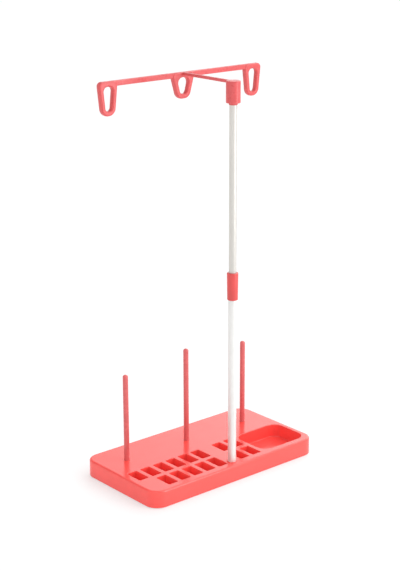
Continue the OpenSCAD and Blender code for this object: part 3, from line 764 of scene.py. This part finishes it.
# Carried-over inner pieces
def dress(node, material):
    """Gives a CAD node its material and softens its edges."""
    bevel, merge = 0.1, 0.001
    piece = frame["nodes"][node]
    piece.data.materials.clear()
    piece.data.materials.append(material)
    weld = piece.modifiers.new("weld", "WELD")
    weld.merge_threshold = merge * METRE
    soften = piece.modifiers.new("soften", "BEVEL")
    soften.width, soften.segments, soften.limit_method = bevel * METRE, 2, "ANGLE"
    soften.angle_limit = math.radians(40)


# The whole object
base_shell()
base_cover()
cover_screw = screw_mesh(SCREW_R, SCREW_HEAD_R, SCREW_HEAD_H, SCREW_PITCH, COVER_SCREW_L)
screw_set("cover_screw_set", "cover_screws", cover_screw, [(x, y, SHELL_Z) for x, y in COVER_SCREWS])
pin_screw = screw_mesh(SCREW_R, SCREW_HEAD_R, SCREW_HEAD_H, SCREW_PITCH, PIN_SCREW_L)
screw_set("pin_screw_set", "pin_screws", pin_screw,
          [(x, PIN_Y, PIN_FLOOR_Z - SCREW_HEAD_H) for x, _ in PINS.values()])
mast_screw = screw_mesh(MAST_SCREW_R, MAST_HEAD_R, MAST_HEAD_H, MAST_SCREW_PITCH, MAST_SCREW_L)
screw_set("mast_screw_set", "mast_screw", mast_screw, [(0, MAST_Y, MAST_FLOOR_Z - WASHER_T - MAST_HEAD_H)])
for foot_node, spot in FEET.items():
    foot(foot_node, *spot)
for pin_node, (pin_x, pin_h) in PINS.items():
    spool_pin(pin_node, pin_x, pin_h)
pipe("lower_tube_drawn", "lower_tube", "base", LOWER_SATIN, LOWER_R, LOWER_BORE, LOWER_Z, LOWER_TOP)
pipe("upper_tube_drawn", "upper_tube", "mast", UPPER_SATIN, UPPER_R, UPPER_BORE, UPPER_Z, UPPER_TOP)
lock_collar()
head_bush()
guide_head_arm()
guide_crossbar()
dress("clamp_collet", INNER_CORAL)
dress("lower_tube_plug", ZINC)
dress("upper_tube_plug", INNER_CORAL)
dress("mast_washer", ZINC)


# Studio
def floor():
    """White paper that rises all round in a wide sweep, to just above the view of a low camera."""
    radius, height, bend, thick, wall, plain_share = 15000, 3700, 2500, 10, 20, 0.55
    corners = [(0, -thick, 0), (radius + wall, -thick, 0), (radius + wall, height, 0),
               (radius, height, 0), (radius, 0, bend), (0, 0, 0)]
    form = Form()
    form.lathe(turned(corners, steps=24), steps=128)
    paper = Shade("white_paper")
    fibres = paper.bump(paper.noise(scale=300), depth=0.002)
    paper.set(Base_Color=(0.98, 0.98, 0.98, 1), Roughness=0.5, Normal=fibres)
    # Seen or mirrored, the paper is partly plain white, so its shadows look faint
    rays = paper.add("ShaderNodeLightPath")
    seen = rays.outputs["Is Camera Ray"]
    for kind in ("Is Glossy Ray", "Is Transmission Ray"):
        either = paper.add("ShaderNodeMath", operation="MAXIMUM")
        paper.link(seen, either.inputs[0])
        paper.link(rays.outputs[kind], either.inputs[1])
        seen = either.outputs["Value"]
    white, mix = paper.add("ShaderNodeEmission"), paper.add("ShaderNodeMixShader")
    paper.link(paper.ranged(seen, 0, plain_share, start=0, end=1), mix.inputs["Fac"])
    paper.link(paper.shader.outputs["BSDF"], mix.inputs[1])
    paper.link(white.outputs["Emission"], mix.inputs[2])
    paper.link(mix.outputs["Shader"], paper.tree.nodes["Material Output"].inputs["Surface"])
    form.finish("floor", paper.material)


def world(level, glows):
    """A pale room of one level, with soft glows. Each glow is (direction, strength, edge), and fades
    out where the cosine of the angle from its direction falls to edge."""
    made = bpy.data.worlds.new("studio")
    bpy.context.scene.world = made
    made.use_nodes = True
    tree = made.node_tree
    way = tree.nodes.new("ShaderNodeTexCoord").outputs["Generated"]
    total = None
    for direction, strength, edge in glows:
        dot = tree.nodes.new("ShaderNodeVectorMath")
        dot.operation = "DOT_PRODUCT"
        dot.inputs[1].default_value = Vector(direction).normalized()
        tree.links.new(way, dot.inputs[0])
        glow = tree.nodes.new("ShaderNodeMapRange")
        glow.interpolation_type = "SMOOTHSTEP"
        for key, value in (("From Min", edge), ("From Max", 1), ("To Min", 0), ("To Max", strength)):
            glow.inputs[key].default_value = value
        tree.links.new(dot.outputs["Value"], glow.inputs["Value"])
        # The first glow is added to the room's level, and each further one to the sum so far
        add = tree.nodes.new("ShaderNodeMath")
        add.operation = "ADD"
        add.inputs[1].default_value = level
        tree.links.new(glow.outputs["Result"], add.inputs[0])
        if total is not None:
            tree.links.new(total, add.inputs[1])
        total = add.outputs["Value"]
    tree.links.new(total, tree.nodes["Background"].inputs["Strength"])
    tree.nodes["Background"].inputs["Color"].default_value = (1, 1, 1, 1)


def softbox(towards, distance, size, power, foot_z):
    """An upright soft light with its lower edge at the height foot_z, which faces the rack."""
    lamp = bpy.data.lights.new("softbox", "AREA")
    lamp.shape, lamp.size, lamp.size_y, lamp.energy = "RECTANGLE", *size, power
    made = bpy.data.objects.new("softbox", lamp)
    way = Vector((*towards, 0)).normalized()
    made.location = way * distance + Vector((0, 0, foot_z + size[1] / 2))
    made.rotation_mode = "QUATERNION"
    made.rotation_quaternion = way.to_track_quat("Z", "Y")
    made.visible_camera = False
    bpy.context.scene.collection.objects.link(made)


def camera():
    """The photograph's view, from the fit of the base, the pins, the mast and the crossbar."""
    azimuth, elevation, roll = (math.radians(a) for a in (-40.42, 16.83, -0.18))
    distance, shift_right, aim_height = 1632.3, -1.03, 224.04
    focal_px, long_side_px, sensor = 1409.85, 570, 36.0
    back = Vector((math.sin(azimuth) * math.cos(elevation), -math.cos(azimuth) * math.cos(elevation),
                   math.sin(elevation)))
    right = Vector((math.cos(azimuth), math.sin(azimuth), 0))
    up = back.cross(right)
    tilted_right = right * math.cos(roll) + up * math.sin(roll)
    tilted_up = up * math.cos(roll) - right * math.sin(roll)
    spot = (right * shift_right + Vector((0, 0, aim_height)) + back * distance) * METRE
    lens = bpy.data.cameras.new("camera")
    lens.lens, lens.sensor_width = focal_px * sensor / long_side_px, sensor
    lens.clip_start, lens.clip_end = 0.05, 100
    made = bpy.data.objects.new("camera", lens)
    made.matrix_world = Matrix((
        (tilted_right.x, tilted_up.x, back.x, spot.x), (tilted_right.y, tilted_up.y, back.y, spot.y),
        (tilted_right.z, tilted_up.z, back.z, spot.z), (0, 0, 0, 1)))
    bpy.context.scene.collection.objects.link(made)
    bpy.context.scene.camera = made


# The room's glows. The deck mirrors the window to the camera.
FRONT_FILL = ((-0.1, -0.7, 0.7), 0.2, -0.4)
WINDOW = ((0.88, 0.44, 0.32), 1.85, 0.8)
LEFT_FILL = ((-0.95, -0.1, 0.12), 0.6, 0.35)
KEY = ((0.6, -0.3, 0.74), 1.2, 0.6)

floor()
world(level=0.45, glows=[FRONT_FILL, WINDOW, LEFT_FILL, KEY])
softbox(towards=(0.42, -0.91), distance=0.95, size=(0.4, 1.2), power=4.5, foot_z=0.0)
camera()
bpy.context.scene.view_settings.view_transform = "Standard"
